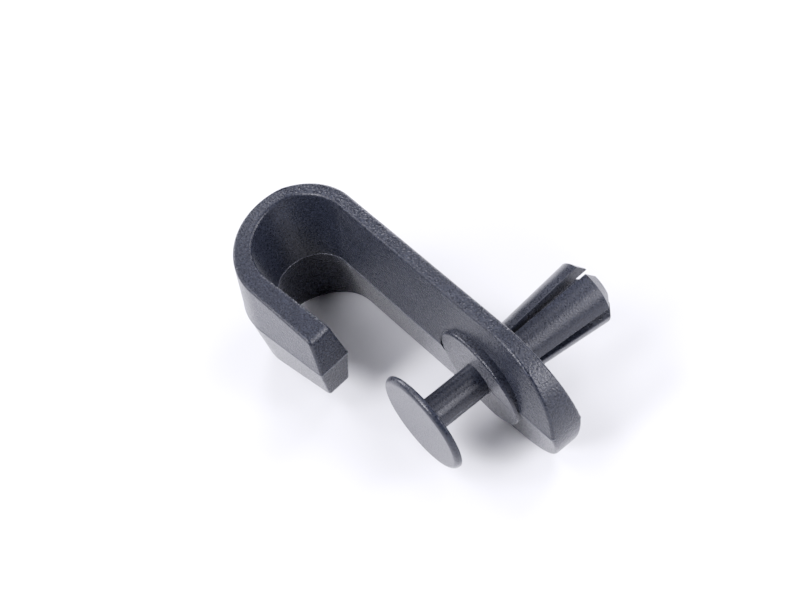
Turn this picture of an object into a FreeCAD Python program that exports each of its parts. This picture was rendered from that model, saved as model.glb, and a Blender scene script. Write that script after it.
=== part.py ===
# Panel hook with an expansion plug and a push pin.
#
# Frame, millimetres: the hook lies on its side as it does on a table.
#   X runs along the long arm toward its free end, 0 on the pin's axis.
#   Y runs along the pin, from its head to the plug's end, 0 in the middle of the long arm.
#   Z is up, 0 on the lower rim. The mould's parting plane is halfway up the strip.

import FreeCAD, Part
import math
import os

import Sketcher

doc = FreeCAD.newDocument("panel_hook")

# Driving dimensions

DIMENSIONS = [
    ("strip_width", 24.5, "height of the strip, rim to rim"),
    ("strip_thick", 5.55, "thickness of the strip on the parting plane"),
    ("draft_angle", 8.4, "lean of the inner face away from the parting plane, degrees"),
    ("outer_draft_angle", 6.3, "lean of the outer face away from the parting plane, degrees"),
    ("edge_round", 0.45, "rounding of the rims' long edges"),
    ("bend_radius", 8.8, "radius of the bend, on the middle of the strip"),
    ("bend_place", 32.9, "pin axis to the centre of the bend, along the long arm"),
    ("arm_lean", 5.7, "lean of the short arm toward the long one, degrees"),
    ("short_arm", 14.1, "straight length of the short arm"),
    ("taper_start", 67.0, "angle round the bend where the strip starts to narrow, degrees"),
    ("tip_width", 13.0, "width of the strip at the short arm's tip"),
    ("tip_thick", 5.7, "thickness of the strip on the parting plane at the short arm's tip"),
    ("tip_round", 1.3, "rounding between a rim and the short arm's tip"),
    ("end_centre", 3.8, "pin axis to the centre of the long arm's round end"),
    ("collar_length", 18.0, "oval collar, along the arm"),
    ("collar_height", 14.65, "oval collar, across the arm"),
    ("collar_front", 3.05, "collar's front face from the arm's middle, on the pin's axis"),
    ("collar_tilt", 2.9, "lean of the collar's front face, degrees"),
    ("collar_seat", 1.2, "floor of the collar's recess from the arm's middle"),
    ("collar_round", 0.4, "rounding of the collar's front edge"),
    ("seat_gap", 0.03, "clearance of the sleeve in the arm's recess and bore"),
    ("sleeve_radius", 4.1, "sleeve's barrel and the plug's root"),
    ("sleeve_end", 3.0, "end of the closed barrel from the arm's middle"),
    ("leg_gap", 0.1, "hinge gap between the barrel and a plug leg"),
    ("leg_end_radius", 5.45, "plug's outer radius where the lead-in starts"),
    ("leg_length", 15.1, "plug leg's outer wall, from the barrel to the lead-in"),
    ("lead_length", 1.6, "lead-in cone's length"),
    ("lead_depth", 1.9, "lead-in cone's depth"),
    ("leg_bore_end", 3.35, "plug's inner radius at its end"),
    ("slot_root", 0.86, "width of the slots between the legs at the root"),
    ("slot_end", 1.9, "width of the slots at the plug's end"),
    ("leg_edge_round", 0.12, "rounding of the plug legs' edges"),
    ("pin_radius", 2.6, "push pin's shaft"),
    ("pin_fit", 0.08, "running clearance of the shaft in the sleeve"),
    ("pin_reach", 8.4, "shaft's tip from the arm's middle, pin drawn out"),
    ("pin_chamfer", 0.6, "chamfer of the shaft's tip"),
    ("head_radius", 8.2, "push pin's head"),
    ("head_thick", 1.06, "thickness of the head"),
    ("head_back", 13.15, "head's back face from the arm's middle, pin drawn out"),
    ("head_round", 0.85, "rounding of the head's front edge"),
    ("head_back_round", 0.18, "rounding of the head's back edge"),
    ("head_root_round", 0.5, "hollow rounding between the shaft and the head"),
]

DERIVED = [
    ("parting", "strip_width / 2"),
    ("draft", "tan(draft_angle * 1deg)"),
    ("outer_draft", "tan(outer_draft_angle * 1deg)"),
    ("collar_slope", "tan(collar_tilt * 1deg)"),
    ("barrel_radius", "sleeve_radius - seat_gap"),
    ("bore_radius", "pin_radius + pin_fit"),
    ("leg_start", "sleeve_end + leg_gap"),
    ("leg_shoulder", "leg_start + leg_length"),
    ("plug_end", "leg_shoulder + lead_length"),
]

# Room that cutting shapes have beyond the material, and the short arm's part that is cut back to its tip
MARGIN = 2.0

# Edges are told apart with these: equal within TINY, close within NEAR, faces meeting at a sharp edge
TINY = 1e-4
NEAR = 0.05
SHARP_DEGREES = 35

sheet = doc.addObject("Spreadsheet::Sheet", "Dimensions")
row = 1
for alias, value, meaning in DIMENSIONS:
    sheet.set("A%d" % row, meaning)
    sheet.set("B%d" % row, "%g" % value)
    sheet.setAlias("B%d" % row, alias)
    row += 1
for alias, formula in DERIVED:
    sheet.set("A%d" % row, alias)
    sheet.set("B%d" % row, "=" + formula)
    sheet.setAlias("B%d" % row, alias)
    row += 1
doc.recompute()


def size(name):
    """Value of a cell, for the first placing of sketch geometry."""
    value = sheet.get(name)
    return float(getattr(value, "Value", value))


# Helpers: bodies, sketches and features bound to the sheet


def bind(thing, prop, formula):
    """Binds a property to a formula in which each sheet name stands as {name}."""
    names = [alias for alias, *rest in DIMENSIONS + DERIVED]
    cells = {alias: "Dimensions." + alias for alias in names}
    thing.setExpression(prop, formula.format(**cells))


def new_body(label):
    """A body whose label names its file."""
    body = doc.addObject("PartDesign::Body", label)
    body.Label = label
    return body


def plane(body, role):
    """One of the body's own origin planes."""
    for item in body.Origin.OriginFeatures:
        if item.Role == role:
            return item
    raise ValueError(role)


def new_sketch(body, name, role, across="0", up="0", out="0", axis=(0, 1, 0), turn="0"):
    """A sketch on an origin plane, moved by the formulas across, up and out, and turned about an axis."""
    sketch = body.newObject("Sketcher::SketchObject", name)
    sketch.AttachmentSupport = [(plane(body, role), "")]
    sketch.MapMode = "FlatFace"
    sketch.AttachmentOffset = FreeCAD.Placement(
        FreeCAD.Vector(0, 0, 0), FreeCAD.Rotation(FreeCAD.Vector(*axis), 1.0)
    )
    bind(sketch, "AttachmentOffset.Base.x", across)
    bind(sketch, "AttachmentOffset.Base.y", up)
    bind(sketch, "AttachmentOffset.Base.z", out)
    bind(sketch, "AttachmentOffset.Rotation.Angle", turn)
    return sketch


def evaluate(formula):
    """Value of a formula at the present sizes."""
    text = formula.format(**{alias: "Dimensions." + alias for alias, *rest in DIMENSIONS + DERIVED})
    value = sheet.evalExpression(text)
    return float(getattr(value, "Value", value))


def pin_point(sketch, geometry, end, across, up):
    """Fixes one end of a line or arc at two formulas, measured from the sketch's origin."""
    for kind, formula in (("DistanceX", across), ("DistanceY", up)):
        value = evaluate(formula)
        if abs(value) < TINY:
            axis = -2 if kind == "DistanceX" else -1
            sketch.addConstraint(Sketcher.Constraint("PointOnObject", geometry, end, axis))
            continue
        if value > 0:
            number = sketch.addConstraint(
                Sketcher.Constraint(kind, -1, 1, geometry, end, value)
            )
            bind(sketch, "Constraints[%d]" % number, formula)
        else:
            number = sketch.addConstraint(
                Sketcher.Constraint(kind, geometry, end, -1, 1, -value)
            )
            bind(sketch, "Constraints[%d]" % number, "-(" + formula + ")")


def add_polygon(sketch, corners):
    """A closed outline through corners, each a pair of formulas."""
    points = [FreeCAD.Vector(evaluate(x), evaluate(y), 0) for x, y in corners]
    count = len(points)
    first = sketch.GeometryCount
    for i in range(count):
        sketch.addGeometry(Part.LineSegment(points[i], points[(i + 1) % count]), False)
    for i in range(count):
        sketch.addConstraint(
            Sketcher.Constraint("Coincident", first + i, 2, first + (i + 1) % count, 1)
        )
    for i, (x, y) in enumerate(corners):
        pin_point(sketch, first + i, 1, x, y)


def add_circle(sketch, radius):
    """A circle about the sketch's origin."""
    circle = Part.Circle(FreeCAD.Vector(0, 0, 0), FreeCAD.Vector(0, 0, 1), evaluate(radius))
    number = sketch.addGeometry(circle, False)
    sketch.addConstraint(Sketcher.Constraint("Coincident", number, 3, -1, 1))
    fixed = sketch.addConstraint(Sketcher.Constraint("Radius", number, evaluate(radius)))
    bind(sketch, "Constraints[%d]" % fixed, radius)


def add_ellipse(sketch, half_across, half_up):
    """An ellipse about the sketch's origin, longer along the sketch's x."""
    along = evaluate(half_across)
    high = evaluate(half_up)
    ellipse = Part.Ellipse(
        FreeCAD.Vector(along, 0, 0), FreeCAD.Vector(0, high, 0), FreeCAD.Vector(0, 0, 0)
    )
    number = sketch.addGeometry(ellipse, False)
    sketch.exposeInternalGeometry(number)
    sketch.addConstraint(Sketcher.Constraint("Coincident", number, 3, -1, 1))
    major = number + 1
    minor = number + 2
    sketch.addConstraint(Sketcher.Constraint("Horizontal", major))
    for line, formula in ((major, half_across), (minor, half_up)):
        fixed = sketch.addConstraint(
            Sketcher.Constraint("Distance", line, 1, line, 2, 2 * evaluate(formula))
        )
        bind(sketch, "Constraints[%d]" % fixed, "2 * (" + formula + ")")


def pocket(body, name, sketch, length, midplane=False, reverse=False):
    """A cut of a sketch's outline. Where it meets no material, it is turned to the other side."""
    doc.recompute()
    before = body.Shape.Volume
    cut = body.newObject("PartDesign::Pocket", name)
    cut.Profile = sketch
    cut.Type = "Length"
    bind(cut, "Length", length)
    cut.Midplane = midplane
    cut.Reversed = reverse
    doc.recompute()
    if cut.Shape.isNull() or cut.Shape.Volume > before - TINY:
        cut.Reversed = not reverse
        doc.recompute()
    if cut.Shape.isNull() or cut.Shape.Volume > before - TINY:
        raise ValueError(name + " removes nothing")
    return cut


def fillet(body, name, base, radius, wanted):
    """Rounds the edges of a feature that a test picks."""
    doc.recompute()
    names = []
    for i, edge in enumerate(base.Shape.Edges, 1):
        if wanted(edge):
            names.append("Edge%d" % i)
    round_edges = body.newObject("PartDesign::Fillet", name)
    round_edges.Base = (base, names)
    bind(round_edges, "Radius", radius)
    doc.recompute()
    return round_edges


# Hook body: a strip of six-sided section, bent to a J, with a round end and a narrowing short arm


def strip_section(sketch, half_height, half_thick):
    """The strip's section: thickest on the parting plane, drafted to both rims, the outer face on +x."""
    inner = "(" + half_thick + " - " + half_height + " * {draft})"
    outer = "(" + half_thick + " - " + half_height + " * {outer_draft})"
    add_polygon(
        sketch,
        [
            ("-" + inner, half_height),
            (outer, half_height),
            (half_thick, "0"),
            (outer, "-" + half_height),
            ("-" + inner, "-" + half_height),
            ("-" + half_thick, "0"),
        ],
    )


def bend_point(angle):
    """Formulas for the point of the strip's middle line at an angle round the bend."""
    x = "-{bend_place} - {bend_radius} * sin((%s) * 1deg)" % angle
    y = "-{bend_radius} + {bend_radius} * cos((%s) * 1deg)" % angle
    return x, y


def bend_arc(sketch, start, end):
    """Part of the bend as an arc between two angles, and its number in the sketch."""
    centre = FreeCAD.Vector(-size("bend_place"), -size("bend_radius"), 0)
    circle = Part.Circle(centre, FreeCAD.Vector(0, 0, 1), size("bend_radius"))
    first = math.radians(90 + evaluate(start))
    last = math.radians(90 + evaluate(end))
    number = sketch.addGeometry(Part.ArcOfCircle(circle, first, last), False)
    pin_point(sketch, number, 3, "-{bend_place}", "-{bend_radius}")
    return number


def make_hook_body():
    body = new_body("hook_body")
    far_end = "({end_centre} + {strip_width} / 2 + %g)" % MARGIN
    bend_end = "180 + {arm_lean}"

    # Long arm and the first part of the bend, of one width
    spine = new_sketch(body, "arm_line", "XY_Plane", out="{parting}")
    start_x, start_y = bend_point("{taper_start}")
    line = Part.LineSegment(
        FreeCAD.Vector(evaluate(far_end), 0, 0), FreeCAD.Vector(-size("bend_place"), 0, 0)
    )
    spine.addGeometry(line, False)
    pin_point(spine, 0, 1, far_end, "0")
    pin_point(spine, 0, 2, "-{bend_place}", "0")
    arc = bend_arc(spine, "0", "{taper_start}")
    spine.addConstraint(Sketcher.Constraint("Coincident", 0, 2, arc, 1))
    number = spine.addConstraint(
        Sketcher.Constraint("DistanceX", arc, 2, -1, 1, -evaluate(start_x))
    )
    bind(spine, "Constraints[%d]" % number, "-(" + start_x + ")")
    section = new_sketch(
        body, "arm_section", "XZ_Plane", across=far_end, up="{parting}", turn="90"
    )
    strip_section(section, "{parting}", "({strip_thick} / 2)")
    arm = body.newObject("PartDesign::AdditivePipe", "long_arm")
    arm.Profile = (section, [""])
    arm.Spine = (spine, [])
    doc.recompute()

    # The rest of the bend and the short arm, narrowing evenly to the tip
    over = "({short_arm} + %g)" % MARGIN
    beyond = "%g / ({short_arm} + {bend_radius} * (180 + {arm_lean} - {taper_start}) * pi / 180)" % MARGIN
    tip_half = "({tip_width} / 2 - ({parting} - {tip_width} / 2) * " + beyond + ")"
    tip_half_thick = "({tip_thick} / 2 + ({tip_thick} - {strip_thick}) / 2 * " + beyond + ")"
    joint_x, joint_y = bend_point(bend_end)
    end_x = joint_x + " + " + over + " * cos({arm_lean} * 1deg)"
    end_y = joint_y + " + " + over + " * sin({arm_lean} * 1deg)"
    spine = new_sketch(body, "tip_line", "XY_Plane", out="{parting}")
    arc = bend_arc(spine, "{taper_start}", bend_end)
    pin_point(spine, arc, 1, start_x, start_y)
    straight = spine.addGeometry(
        Part.LineSegment(
            FreeCAD.Vector(evaluate(joint_x), evaluate(joint_y), 0),
            FreeCAD.Vector(evaluate(end_x), evaluate(end_y), 0),
        ),
        False,
    )
    spine.addConstraint(Sketcher.Constraint("Coincident", arc, 2, straight, 1))
    pin_point(spine, straight, 2, end_x, end_y)
    number = spine.addConstraint(
        Sketcher.Constraint("DistanceX", straight, 1, -1, 1, -evaluate(joint_x))
    )
    bind(spine, "Constraints[%d]" % number, "-(" + joint_x + ")")
    wide = new_sketch(
        body, "wide_section", "XZ_Plane", across=start_x, up="{parting}",
        out="-(" + start_y + ")", turn="90 + {taper_start}",
    )
    strip_section(wide, "{parting}", "({strip_thick} / 2)")
    narrow = new_sketch(
        body, "narrow_section", "XZ_Plane", across=end_x, up="{parting}",
        out="-(" + end_y + ")", turn="270 + {arm_lean}",
    )
    strip_section(narrow, tip_half, tip_half_thick)
    bend = body.newObject("PartDesign::AdditivePipe", "bend_and_short_arm")
    bend.Profile = (wide, [""])
    bend.Spine = (spine, [])
    bend.Sections = [(narrow, [""])]
    bend.Transformation = "Multisection"
    doc.recompute()

    # Round end of the long arm, as seen from the front
    outline = new_sketch(body, "round_end_outline", "XZ_Plane")
    centre = FreeCAD.Vector(size("end_centre"), size("parting"), 0)
    circle = Part.Circle(centre, FreeCAD.Vector(0, 0, 1), size("parting"))
    outline.addGeometry(Part.ArcOfCircle(circle, -math.pi / 2, math.pi / 2), False)
    above = "{strip_width} + %g" % MARGIN
    below = "-%g" % MARGIN
    beyond = far_end + " + %g" % MARGIN
    corners = [
        ("{end_centre}", "{strip_width}"),
        ("{end_centre}", above),
        (beyond, above),
        (beyond, below),
        ("{end_centre}", below),
        ("{end_centre}", "0"),
    ]
    points = [FreeCAD.Vector(evaluate(x), evaluate(y), 0) for x, y in corners]
    for i in range(len(points) - 1):
        outline.addGeometry(Part.LineSegment(points[i], points[i + 1]), False)
    number = outline.addConstraint(
        Sketcher.Constraint("DistanceX", -1, 1, 0, 3, size("end_centre"))
    )
    bind(outline, "Constraints[%d]" % number, "{end_centre}")
    for i in range(len(points) - 1):
        pin_point(outline, i + 1, 1, *corners[i])
    for i in range(len(points) - 2):
        outline.addConstraint(Sketcher.Constraint("Coincident", i + 1, 2, i + 2, 1))
    outline.addConstraint(Sketcher.Constraint("Coincident", 0, 2, 1, 1))
    outline.addConstraint(Sketcher.Constraint("Coincident", 5, 2, 0, 1))
    pin_point(outline, 5, 2, *corners[5])
    round_end = pocket(body, "round_end", outline, "4 * {strip_thick}", midplane=True)

    # Tip of the short arm: drafted to both sides of the parting plane
    tip_x = joint_x + " + {short_arm} * cos({arm_lean} * 1deg)"
    tip_y = joint_y + " + {short_arm} * sin({arm_lean} * 1deg)"
    outline = new_sketch(
        body, "tip_outline", "XZ_Plane", across=tip_x, up="{parting}",
        out="-(" + tip_y + ")", turn="{arm_lean}",
    )
    lean_back = "-({parting} * {draft})"
    add_polygon(
        outline,
        [
            ("0", "0"),
            (lean_back, "{parting}"),
            ("%g" % (2 * MARGIN), "{parting}"),
            ("%g" % (2 * MARGIN), "-{parting}"),
            (lean_back, "-{parting}"),
        ],
    )
    pocket(body, "drafted_tip", outline, "{strip_thick} + %g" % (2 * MARGIN), midplane=True)

    # Bore for the sleeve's barrel, and the oval recess that its collar is keyed in
    circle = new_sketch(body, "bore_circle", "XZ_Plane", up="{parting}")
    add_circle(circle, "{sleeve_radius}")
    pocket(body, "sleeve_bore", circle, "2 * {strip_thick}", midplane=True)
    oval = new_sketch(body, "recess_oval", "XZ_Plane", up="{parting}", out="{collar_seat}")
    add_ellipse(oval, "{collar_length} / 2", "{collar_height} / 2")
    recess = pocket(body, "collar_recess", oval, "{strip_thick}", reverse=True)

    # Rounded tip: the short edge in which each rim meets the tip
    def on_tip(edge):
        ends = [vertex.Point for vertex in edge.Vertexes]
        half_way = size("short_arm") / 2 - size("bend_place")
        at_tip = all(p.x > half_way and p.y < -size("bend_radius") for p in ends)
        level = abs(ends[0].z - ends[-1].z) < NEAR
        off_parting = abs(ends[0].z - size("parting")) > NEAR
        return at_tip and level and off_parting and edge.Length < size("tip_thick")

    crease = fillet(body, "rounded_tip", recess, "{tip_round}", on_tip)

    # Rounded rims: every sharp edge of the strip but those of the bore, the recess and the parting plane
    def on_rim(edge):
        first, last = edge.ParameterRange
        points = [edge.valueAt(t) for t in (first, (first + last) / 2, last)]
        heights = [p.z - size("parting") for p in points]
        reach = max(math.hypot(p.x, h) for p, h in zip(points, heights))
        at_sleeve = reach < size("collar_length") / 2 + NEAR
        at_parting = abs(heights[0]) < TINY and abs(heights[2]) < TINY
        faces = crease.Shape.ancestorsOfType(edge, Part.Face)
        if at_sleeve or at_parting or len(faces) != 2:
            return False
        normals = [face.normalAt(*face.Surface.parameter(points[1])) for face in faces]
        return normals[0].getAngle(normals[1]) > math.radians(SHARP_DEGREES)

    fillet(body, "rounded_rims", crease, "{edge_round}", on_rim)
    return body


# Expansion sleeve: oval collar on the arm's inner face, and the barrel through the arm


def make_sleeve():
    body = new_body("expansion_sleeve")
    oval = new_sketch(body, "collar_oval", "XZ_Plane", up="{parting}", out="{collar_seat} + {seat_gap}")
    add_ellipse(oval, "{collar_length} / 2 - {seat_gap}", "{collar_height} / 2 - {seat_gap}")
    collar = body.newObject("PartDesign::Pad", "collar")
    collar.Profile = oval
    bind(collar, "Length", "{collar_front} + %g" % MARGIN)
    doc.recompute()

    # Front face of the collar, leaning so that it stands prouder toward the arm's free end
    wedge = new_sketch(body, "front_wedge", "XY_Plane", out="{parting}")
    reach = "{collar_length}"
    near = "-({collar_front} - {collar_slope} * {collar_length})"
    far = "-({collar_front} + {collar_slope} * {collar_length})"
    out = "-(2 * {collar_front} + %g)" % (2 * MARGIN)
    add_polygon(wedge, [("-" + reach, near), ("-" + reach, out), (reach, out), (reach, far)])
    front = pocket(body, "collar_front_face", wedge, "2 * {collar_height}", midplane=True)

    barrel_circle = new_sketch(body, "barrel_circle", "XZ_Plane", up="{parting}", out="-{sleeve_end}")
    add_circle(barrel_circle, "{barrel_radius}")
    barrel = body.newObject("PartDesign::Pad", "barrel")
    barrel.Profile = barrel_circle
    bind(barrel, "Length", "{sleeve_end} + {collar_seat} + 2 * {seat_gap}")
    doc.recompute()

    bore_circle = new_sketch(body, "bore_circle", "XZ_Plane", up="{parting}")
    add_circle(bore_circle, "{bore_radius}")
    bore = pocket(body, "pin_bore", bore_circle, "4 * {strip_thick}", midplane=True)

    def front_rim(edge):
        box = edge.BoundBox
        in_front = box.YMax < -size("collar_seat") - size("collar_round")
        return in_front and box.YLength > NEAR and box.XLength > 2 * size("sleeve_radius")

    fillet(body, "collar_edge", bore, "{collar_round}", front_rim)
    return body


# Plug legs: four quarters of a flared tube, each hinged at its root by the thin wall there


def make_leg(label, azimuth):
    """One leg, drawn with its middle along the body's own X and then turned to its azimuth."""
    body = new_body(label)
    profile = new_sketch(body, "wall_profile", "XY_Plane")
    add_polygon(
        profile,
        [
            ("{bore_radius}", "{leg_start}"),
            ("{sleeve_radius}", "{leg_start}"),
            ("{leg_end_radius}", "{leg_shoulder}"),
            ("{leg_end_radius} - {lead_depth}", "{plug_end}"),
            ("{leg_bore_end}", "{plug_end}"),
        ],
    )
    wall = body.newObject("PartDesign::Revolution", "wall")
    wall.Profile = profile
    wall.ReferenceAxis = (profile, ["V_Axis"])
    wall.Angle = 90
    wall.Midplane = True
    doc.recompute()

    # Half of a slot is cut from each side: its walls part evenly toward the plug's end
    for side in (1, -1):
        slot = new_sketch(body, "slot_%d" % (2 if side < 0 else 1), "XY_Plane", turn="%d" % (45 * side))
        grow = "({slot_end} - {slot_root}) / 2 / ({plug_end} - {leg_start})"
        root_half = "({slot_root} / 2 - " + grow + " * %g)" % MARGIN
        end_half = "({slot_end} / 2 + " + grow + " * %g)" % MARGIN
        low = "{leg_start} - %g" % MARGIN
        high = "{plug_end} + %g" % MARGIN
        add_polygon(
            slot,
            [("-" + root_half, low), (root_half, low), (end_half, high), ("-" + end_half, high)],
        )
        cut = pocket(body, "slot_cut_%d" % (2 if side < 0 else 1), slot, "2 * {leg_end_radius}")

    # Rounded edges: the shoulder, and both sides of the outer wall and of the lead-in
    def outside(edge):
        box = edge.BoundBox
        first, last = edge.ParameterRange
        point = edge.valueAt((first + last) / 2)
        along = (point.y - size("leg_start")) / (size("plug_end") - size("leg_start"))
        bore = size("bore_radius") + along * (size("leg_bore_end") - size("bore_radius"))
        at_end = box.YLength < TINY and abs(box.YMin - size("leg_shoulder")) > TINY
        return not at_end and math.hypot(point.x, point.z) > bore + NEAR

    fillet(body, "leg_edges", cut, "{leg_edge_round}", outside)
    turn = FreeCAD.Rotation(FreeCAD.Vector(0, 1, 0), -azimuth)
    body.Placement = FreeCAD.Placement(FreeCAD.Vector(0, 0, 0), turn)
    bind(body, "Placement.Base.z", "{parting}")
    return body


# Push pin: disc head and shaft, one moulding


def make_pin():
    body = new_body("push_pin")
    profile = new_sketch(body, "pin_profile", "XY_Plane", up="0", out="{parting}")
    add_polygon(
        profile,
        [
            ("0", "-({head_back} + {head_thick})"),
            ("{head_radius}", "-({head_back} + {head_thick})"),
            ("{head_radius}", "-{head_back}"),
            ("{pin_radius}", "-{head_back}"),
            ("{pin_radius}", "{pin_reach} - {pin_chamfer}"),
            ("{pin_radius} - {pin_chamfer}", "{pin_reach}"),
            ("0", "{pin_reach}"),
        ],
    )
    turned = body.newObject("PartDesign::Revolution", "head_and_shaft")
    turned.Profile = profile
    turned.ReferenceAxis = (profile, ["V_Axis"])
    turned.Angle = 360
    doc.recompute()

    def rim_at(y):
        def test(edge):
            box = edge.BoundBox
            wide = box.XLength > size("head_radius") + size("pin_radius")
            return wide and abs(box.YMin - y) < TINY and abs(box.YMax - y) < TINY

        return test

    front = fillet(
        body, "head_front_edge", turned, "{head_round}", rim_at(-size("head_back") - size("head_thick"))
    )
    back = fillet(body, "head_back_edge", front, "{head_back_round}", rim_at(-size("head_back")))

    def root(edge):
        box = edge.BoundBox
        narrow = box.XLength < size("head_radius") + size("pin_radius")
        at_back = abs(box.YMin + size("head_back")) < TINY and abs(box.YMax + size("head_back")) < TINY
        return narrow and at_back

    fillet(body, "head_root", back, "{head_root_round}", root)
    return body


LEG_DEGREES = [
    ("upper_front_leg", 45.0),
    ("upper_rear_leg", 135.0),
    ("lower_rear_leg", 225.0),
    ("lower_front_leg", 315.0),
]

bodies = [make_hook_body(), make_sleeve()]
for leg_label, leg_azimuth in LEG_DEGREES:
    bodies.append(make_leg(leg_label, leg_azimuth))
bodies.append(make_pin())
doc.recompute()

# Every object and shape is sound before anything is written

for item in doc.Objects:
    for word in item.State:
        if word in ("Invalid", "Error"):
            raise ValueError("%s: %s" % (item.Label, item.State))
for body in bodies:
    shape = body.Shape
    if shape.isNull() or not shape.isValid() or len(shape.Solids) != 1:
        raise ValueError("%s is not one valid solid" % body.Label)

os.makedirs("parts", exist_ok=True)
for body in bodies:
    body.Shape.exportStep(os.path.join("parts", body.Label + ".step"))
    box = body.Shape.BoundBox
    corners = (box.XMin, box.YMin, box.ZMin, box.XMax, box.YMax, box.ZMax)
    print(body.Label, round(body.Shape.Volume, 1), "mm3", [round(v, 2) for v in corners])
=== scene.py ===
from math import cos, radians, sin

import bmesh
import bpy
from mathutils import Matrix, Vector


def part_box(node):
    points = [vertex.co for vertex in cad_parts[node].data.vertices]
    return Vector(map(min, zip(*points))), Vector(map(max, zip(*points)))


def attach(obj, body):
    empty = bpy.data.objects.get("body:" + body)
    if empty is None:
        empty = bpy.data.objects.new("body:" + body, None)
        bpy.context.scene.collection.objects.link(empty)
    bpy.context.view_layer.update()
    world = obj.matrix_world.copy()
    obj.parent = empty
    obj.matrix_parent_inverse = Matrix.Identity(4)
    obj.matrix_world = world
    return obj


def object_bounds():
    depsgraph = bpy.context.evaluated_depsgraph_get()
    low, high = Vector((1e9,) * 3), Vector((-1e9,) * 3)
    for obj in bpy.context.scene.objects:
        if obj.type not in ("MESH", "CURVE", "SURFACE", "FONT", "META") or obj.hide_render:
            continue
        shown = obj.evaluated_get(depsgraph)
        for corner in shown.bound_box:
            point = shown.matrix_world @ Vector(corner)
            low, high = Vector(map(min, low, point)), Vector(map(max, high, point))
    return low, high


MM = 0.001

# Camera: the point it aims at, where it stands round that point (degrees), and its lens
CAMERA_TARGET = Vector((-20.187, -1.721, 12.25)) * MM
CAMERA_DISTANCE = 257.3 * MM
CAMERA_AZIMUTH = 65.68
CAMERA_ELEVATION = 49.80
CAMERA_ROLL = -18.57
LENS = 75.87
SENSOR = 36.0
NEAR_CLIP = 0.01
FAR_CLIP = 10.0

# Light: soft boxes on a dome round the hook, as (azimuth from +X, elevation, power in watts)
DOME_CENTRE = Vector((-15, -5, 10)) * MM
DOME_RADIUS = 1.0
BOX_SIZE = 0.36
BOX_TINT = (1.0, 1.0, 1.13)
SOFT_BOXES = (
    (13, 22, 3.0), (39, 22, 7.7), (30, 36, 7.0), (51, 64, 2.6),
    (90, 50, 5.1), (141, 22, 9.8), (154, 64, 1.2),
    (193, 22, 7.4), (198, 50, 2.6), (240, 36, 4.1), (257, 64, 4.7), (270, 36, 15.0),
)
BACKDROP = 2.8

# Camera response: straight up to the knee, then a soft shoulder to white
WHITE_LEVEL = 2.4
KNEE = 0.3
SHOULDER_STOPS = (KNEE, 0.5, 0.7, 0.85, 0.95)
COMBINED_CURVE = 3

# Floor: half of its side, its gap below the hook's rim, and the share of light that it gives back
FLOOR_HALF = 3.0
FLOOR_GAP = 0.05 * MM
FLOOR_ALBEDO = 0.8

# Plastic: anthracite with a blue cast, and the bloom that a fine grain shows at a flat angle
DARK_TONE = (0.0045, 0.0055, 0.0085)
PALE_TONE = (0.0145, 0.0174, 0.0262)
# The flash beads are the same plastic, but their tones are far paler: a painted glint, so that the
# parting line shows as a light line
FLASH_PAINTED_GLINT_DARK = (0.050, 0.052, 0.060)
FLASH_PAINTED_GLINT_PALE = (0.080, 0.083, 0.095)
INDEX = 1.32
BLOOM = 0.3
BLOOM_ROUGHNESS = 0.25

# Finishes, as grain size, grain depth, and the roughness in the grain's hollows and on its peaks
GRAINED = (0.28 * MM, 0.060 * MM, 0.22, 0.36)
SATIN = (0.24 * MM, 0.024 * MM, 0.24, 0.36)
FLASH = (0.25 * MM, 0.002 * MM, 0.15, 0.22)

# Grain: a fine noise with pits in it, and broad, faint clouds that weaken its speckle
GRAIN_DETAIL = 2.0
GRAIN_ROUGHNESS = 0.6
PIT_SPACING = 1.6           # in grain sizes
PIT_EDGE = 0.6              # where a pit's slope ends, in pit spacings
PIT_HEIGHT = 0.45           # in heights of the noise
CLOUD_SIZE = 2.5 * MM
CLOUD_DETAIL = 3.0
CLOUD_ROUGHNESS = 0.5
ROUGHENING = (0.3, 0.7)     # from hollow to peak, as values of the noise
PALING = (0.42, 0.70)       # from dark to pale, as values of the noise
CLOUDING = (0.35, 0.65)     # from weak to full speckle, as values of the clouds
WEAK_SPECKLE = 0.6

# Shading normals follow the large faces past the edge roundings
FACE_WEIGHT = 100

# Parting line: a fine bead of flash along the mould's parting plane, fuller inside the hook
INNER_BEAD = 0.09 * MM
OUTER_BEAD = 0.045 * MM
COLLAR_BEAD = 0.04 * MM
PIN_BEAD = 0.075 * MM
BEAD_ROUNDNESS = 2
BESIDE_SLEEVE = 0.1 * MM    # clear stretch of the hook round the sleeve's box
PIN_GAP = 0.3 * MM          # between the pin's shaft and the collar's beads
ON_SHAFT = 0.01 * MM        # how far from the shaft's side an edge may lie
WELD = 1e-7                 # vertices of a CAD mesh this close are one
JOIN = 0.002 * MM           # edges' ends this close are one point of a bead

# The strip's middle line, as in the CAD: radius of the bend, and where along X it ends
BEND_RADIUS = 8.8 * MM
BEND_PLACE = -32.9 * MM


def set_camera():
    data = bpy.data.cameras.new("photo_camera")
    data.sensor_width = SENSOR
    data.lens = LENS
    data.clip_start = NEAR_CLIP
    data.clip_end = FAR_CLIP
    azimuth, elevation, roll = map(radians, (CAMERA_AZIMUTH, CAMERA_ELEVATION, CAMERA_ROLL))
    level = Vector((cos(azimuth), sin(azimuth), 0))
    back = Vector((cos(elevation) * sin(azimuth), -cos(elevation) * cos(azimuth), sin(elevation)))
    upright = back.cross(level)
    right = cos(roll) * level + sin(roll) * upright
    up = back.cross(right)
    turn = Matrix((right, up, back)).transposed().to_4x4()
    camera = bpy.data.objects.new("photo_camera", data)
    camera.matrix_world = Matrix.Translation(CAMERA_TARGET + CAMERA_DISTANCE * back) @ turn
    bpy.context.scene.collection.objects.link(camera)
    bpy.context.scene.camera = camera


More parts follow.
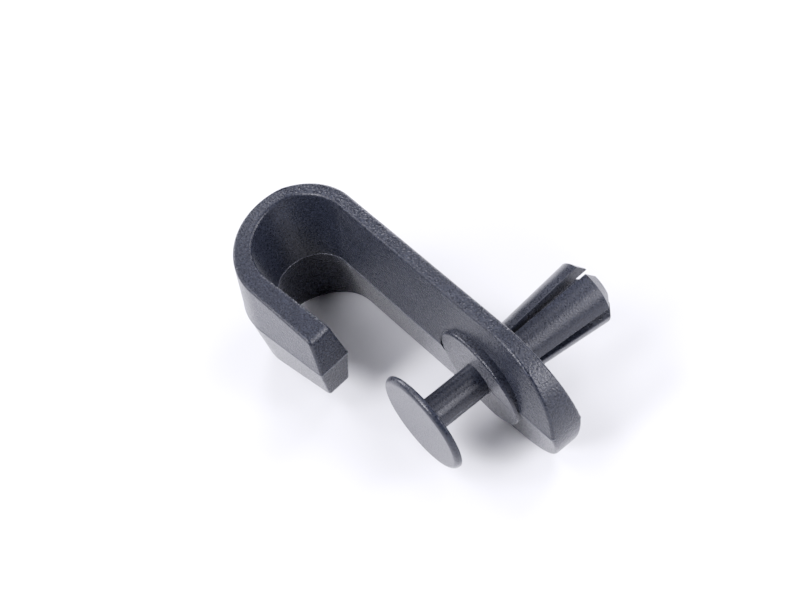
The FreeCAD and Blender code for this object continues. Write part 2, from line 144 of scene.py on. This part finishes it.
def set_response():
    """The photograph's tones: dark ones straight, bright ones eased into white."""
    settings = bpy.context.scene.view_settings
    settings.view_transform = "Standard"
    settings.use_curve_mapping = True
    mapping = settings.curve_mapping
    mapping.white_level = (WHITE_LEVEL,) * 3
    curve = mapping.curves[COMBINED_CURVE]
    for display in SHOULDER_STOPS:
        shoulder = (WHITE_LEVEL - 1) * ((display - KNEE) / (1 - KNEE)) ** 2
        curve.points.new((display + shoulder) / WHITE_LEVEL, display)
    mapping.update()


def set_world():
    """Dark for the light that falls on the hook, white where the camera sees past the floor."""
    world = bpy.data.worlds.new("studio")
    bpy.context.scene.world = world
    world.use_nodes = True
    nodes, links = world.node_tree.nodes, world.node_tree.links
    rays = nodes.new("ShaderNodeLightPath")
    strength = nodes.new("ShaderNodeMath")
    strength.operation = "MULTIPLY"
    strength.inputs[1].default_value = BACKDROP
    links.new(rays.outputs["Is Camera Ray"], strength.inputs[0])
    links.new(strength.outputs[0], nodes["Background"].inputs["Strength"])
    nodes["Background"].inputs["Color"].default_value = (1, 1, 1, 1)


def add_soft_box(index, azimuth, elevation, power):
    data = bpy.data.lights.new("soft_box_%02d" % index, "AREA")
    data.shape = "DISK"
    data.size = BOX_SIZE
    data.energy = power
    data.color = BOX_TINT
    a, e = radians(azimuth), radians(elevation)
    direction = Vector((cos(e) * cos(a), cos(e) * sin(a), sin(e)))
    box = bpy.data.objects.new(data.name, data)
    box.location = DOME_CENTRE + DOME_RADIUS * direction
    box.rotation_euler = direction.to_track_quat("Z", "Y").to_euler()
    bpy.context.scene.collection.objects.link(box)


def add_floor():
    mesh = bpy.data.meshes.new("floor")
    s = FLOOR_HALF
    mesh.from_pydata([(-s, -s, 0), (s, -s, 0), (s, s, 0), (-s, s, 0)], [], [(0, 1, 2, 3)])
    floor = bpy.data.objects.new("floor", mesh)
    floor.location.z = -FLOOR_GAP
    bpy.context.scene.collection.objects.link(floor)
    material = bpy.data.materials.new("white_paper")
    material.use_nodes = True
    shader = material.node_tree.nodes["Principled BSDF"]
    shader.inputs["Base Color"].default_value = (FLOOR_ALBEDO,) * 3 + (1,)
    shader.inputs["Roughness"].default_value = 1.0
    shader.inputs["Specular IOR Level"].default_value = 0.0
    mesh.materials.append(material)


def moulded_plastic(name, grain_size, grain_depth, smooth, rough, dark=DARK_TONE, pale=PALE_TONE):
    """Anthracite plastic: a spark-eroded grain as bump, with roughness and tone that vary with it."""
    material = bpy.data.materials.new(name)
    material.use_nodes = True
    nodes, links = material.node_tree.nodes, material.node_tree.links
    shader = nodes["Principled BSDF"]
    shader.inputs["IOR"].default_value = INDEX
    shader.inputs["Sheen Weight"].default_value = BLOOM
    shader.inputs["Sheen Roughness"].default_value = BLOOM_ROUGHNESS

    place = nodes.new("ShaderNodeTexCoord").outputs["Object"]

    def noise(size, detail, roughness):
        node = nodes.new("ShaderNodeTexNoise")
        node.inputs["Scale"].default_value = 1 / size
        node.inputs["Detail"].default_value = detail
        node.inputs["Roughness"].default_value = roughness
        links.new(place, node.inputs["Vector"])
        return node.outputs["Fac"]

    def ranged(value, low, high, out_low, out_high):
        node = nodes.new("ShaderNodeMapRange")
        for socket, number in zip(node.inputs[1:5], (low, high, out_low, out_high)):
            socket.default_value = number
        links.new(value, node.inputs["Value"])
        return node.outputs["Result"]

    grain = noise(grain_size, GRAIN_DETAIL, GRAIN_ROUGHNESS)
    cloud = noise(CLOUD_SIZE, CLOUD_DETAIL, CLOUD_ROUGHNESS)

    pits = nodes.new("ShaderNodeTexVoronoi")
    pits.inputs["Scale"].default_value = 1 / (PIT_SPACING * grain_size)
    links.new(place, pits.inputs["Vector"])
    height = nodes.new("ShaderNodeMath")
    height.operation = "ADD"
    links.new(grain, height.inputs[0])
    links.new(ranged(pits.outputs["Distance"], 0.0, PIT_EDGE, 0.0, PIT_HEIGHT), height.inputs[1])

    bump = nodes.new("ShaderNodeBump")
    bump.inputs["Strength"].default_value = 1.0
    bump.inputs["Distance"].default_value = grain_depth
    links.new(height.outputs[0], bump.inputs["Height"])
    links.new(bump.outputs["Normal"], shader.inputs["Normal"])

    tone = nodes.new("ShaderNodeMix")
    tone.data_type = "RGBA"
    tone.inputs["A"].default_value = dark + (1,)
    tone.inputs["B"].default_value = pale + (1,)
    speckle = nodes.new("ShaderNodeMath")
    speckle.operation = "MULTIPLY"
    links.new(ranged(grain, *PALING, 0.0, 1.0), speckle.inputs[0])
    links.new(ranged(cloud, *CLOUDING, WEAK_SPECKLE, 1.0), speckle.inputs[1])
    links.new(speckle.outputs[0], tone.inputs["Factor"])
    links.new(tone.outputs["Result"], shader.inputs["Base Color"])

    links.new(ranged(grain, *ROUGHENING, smooth, rough), shader.inputs["Roughness"])
    return material


def dress(node, material):
    """The material on a CAD node, and even shading across its flat faces."""
    node.data.materials.clear()
    node.data.materials.append(material)
    shading = node.modifiers.new("even_shading", "WEIGHTED_NORMAL")
    shading.mode = "FACE_AREA"
    shading.weight = FACE_WEIGHT
    shading.keep_sharp = True


def section_edges(node, height):
    """The edges in which a CAD node's surface meets the level plane at that height, as point pairs."""
    cut = bmesh.new()
    cut.from_mesh(node.data)
    bmesh.ops.remove_doubles(cut, verts=cut.verts, dist=WELD)
    found = bmesh.ops.bisect_plane(
        cut, geom=cut.verts[:] + cut.edges[:] + cut.faces[:], dist=WELD,
        plane_co=(0, 0, height), plane_no=(0, 0, 1),
    )["geom_cut"]
    pairs = [tuple(v.co.copy() for v in e.verts) for e in found if isinstance(e, bmesh.types.BMEdge)]
    cut.free()
    return pairs


def chains(pairs):
    """Point pairs joined end to end into lists of points."""
    def key(point):
        return tuple(round(c / JOIN) for c in point)

    at = {}
    for i, pair in enumerate(pairs):
        for point in pair:
            at.setdefault(key(point), []).append(i)
    used = set()

    def walk(point):
        run = []
        while True:
            step = next((i for i in at.get(key(point), ()) if i not in used), None)
            if step is None:
                return run
            used.add(step)
            first, last = pairs[step]
            point = last if key(point) == key(first) else first
            run.append(point)

    runs = []
    for i, (first, last) in enumerate(pairs):
        if i not in used:
            used.add(i)
            runs.append(walk(first)[::-1] + [first, last] + walk(last))
    return runs


def add_beads(name, pairs, radius, body, material):
    """Fine beads of flash along the edges given as point pairs, as one curve piece."""
    curve = bpy.data.curves.new(name, "CURVE")
    curve.dimensions = "3D"
    curve.bevel_depth = radius
    curve.bevel_resolution = BEAD_ROUNDNESS
    curve.use_fill_caps = True
    for run in chains(pairs):
        spline = curve.splines.new("POLY")
        spline.points.add(len(run) - 1)
        for point, place in zip(spline.points, run):
            point.co = (*place, 1)
    piece = bpy.data.objects.new(name, curve)
    bpy.context.scene.collection.objects.link(piece)
    curve.materials.append(material)
    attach(piece, body)


def middle(pair):
    return (pair[0] + pair[1]) / 2


def off_axis(pair):
    """How far the nearer and the farther end lie from the pin's axis, along X."""
    return sorted(abs(point.x) for point in pair)


def near_box(point, low, high):
    """Whether the point lies within the box or close beside it, seen along Z."""
    return all(low[k] - BESIDE_SLEEVE < point[k] < high[k] + BESIDE_SLEEVE for k in (0, 1))


def inside_hook(point):
    """On the throat's side of the strip's middle line."""
    beyond = min(point.x - BEND_PLACE, 0)
    return Vector((beyond, point.y + BEND_RADIUS)).length < BEND_RADIUS


def clipped(pair, inner):
    """The pair, with an end that lies nearer to the pin's axis than inner moved out to it."""
    near, far = sorted(pair, key=lambda point: abs(point.x))
    if abs(near.x) < inner:
        near = near.lerp(far, (inner - abs(near.x)) / (abs(far.x) - abs(near.x)))
    return near, far


def add_hook_parting_lines(hook, height, material):
    """Round the strip, but for the stretch that the sleeve covers."""
    sleeve_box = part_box("expansion_sleeve")
    edges = [p for p in section_edges(hook, height) if not near_box(middle(p), *sleeve_box)]
    inner = [p for p in edges if inside_hook(middle(p))]
    outer = [p for p in edges if not inside_hook(middle(p))]
    add_beads("inner_parting_line", inner, INNER_BEAD, "hook", material)
    add_beads("outer_parting_line", outer, OUTER_BEAD, "hook", material)


def add_collar_parting_line(sleeve, height, arm_face, inner, material):
    """Across the collar's front and down its side to the arm, on either side of the pin."""
    edges = [
        clipped(p, inner) for p in section_edges(sleeve, height)
        if middle(p).y < arm_face and off_axis(p)[1] > inner
    ]
    add_beads("collar_parting_line", edges, COLLAR_BEAD, "hook", material)


def add_pin_parting_line(pin, height, shaft_radius, material):
    """Along both sides of the shaft."""
    edges = [
        p for p in section_edges(pin, height)
        if off_axis(p)[0] > shaft_radius - ON_SHAFT and off_axis(p)[1] < shaft_radius + ON_SHAFT
    ]
    add_beads("pin_parting_line", edges, PIN_BEAD, "pin", material)


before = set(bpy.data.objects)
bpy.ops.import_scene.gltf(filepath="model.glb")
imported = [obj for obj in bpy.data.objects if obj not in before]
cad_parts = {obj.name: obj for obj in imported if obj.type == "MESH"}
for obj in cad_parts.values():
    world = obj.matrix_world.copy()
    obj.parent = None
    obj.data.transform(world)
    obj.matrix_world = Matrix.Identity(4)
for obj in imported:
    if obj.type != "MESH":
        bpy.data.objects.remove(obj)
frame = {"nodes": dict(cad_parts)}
cad_low, cad_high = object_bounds()
nodes = frame["nodes"]

set_camera()
set_response()
set_world()
add_floor()
for index, box in enumerate(SOFT_BOXES):
    add_soft_box(index, *box)

grained = moulded_plastic("grained_anthracite", *GRAINED)
satin = moulded_plastic("satin_anthracite", *SATIN)
# The flash beads get the pale tones, a painted glint along the parting line
flash = moulded_plastic("flash_painted_glint", *FLASH, dark=FLASH_PAINTED_GLINT_DARK, pale=FLASH_PAINTED_GLINT_PALE)
for name, node in nodes.items():
    dress(node, satin if "leg" in name or name == "push_pin" else grained)

# The parting plane lies halfway up, and the arm's inner face as far from Y = 0 as its back
parting = (cad_low.z + cad_high.z) / 2
arm_face = -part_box("hook_body")[1].y
shaft_radius = max(v.co.x for v in nodes["push_pin"].data.vertices if v.co.y > 0)
add_hook_parting_lines(nodes["hook_body"], parting, flash)
add_collar_parting_line(nodes["expansion_sleeve"], parting, arm_face, shaft_radius + PIN_GAP, flash)
add_pin_parting_line(nodes["push_pin"], parting, shaft_radius, flash)
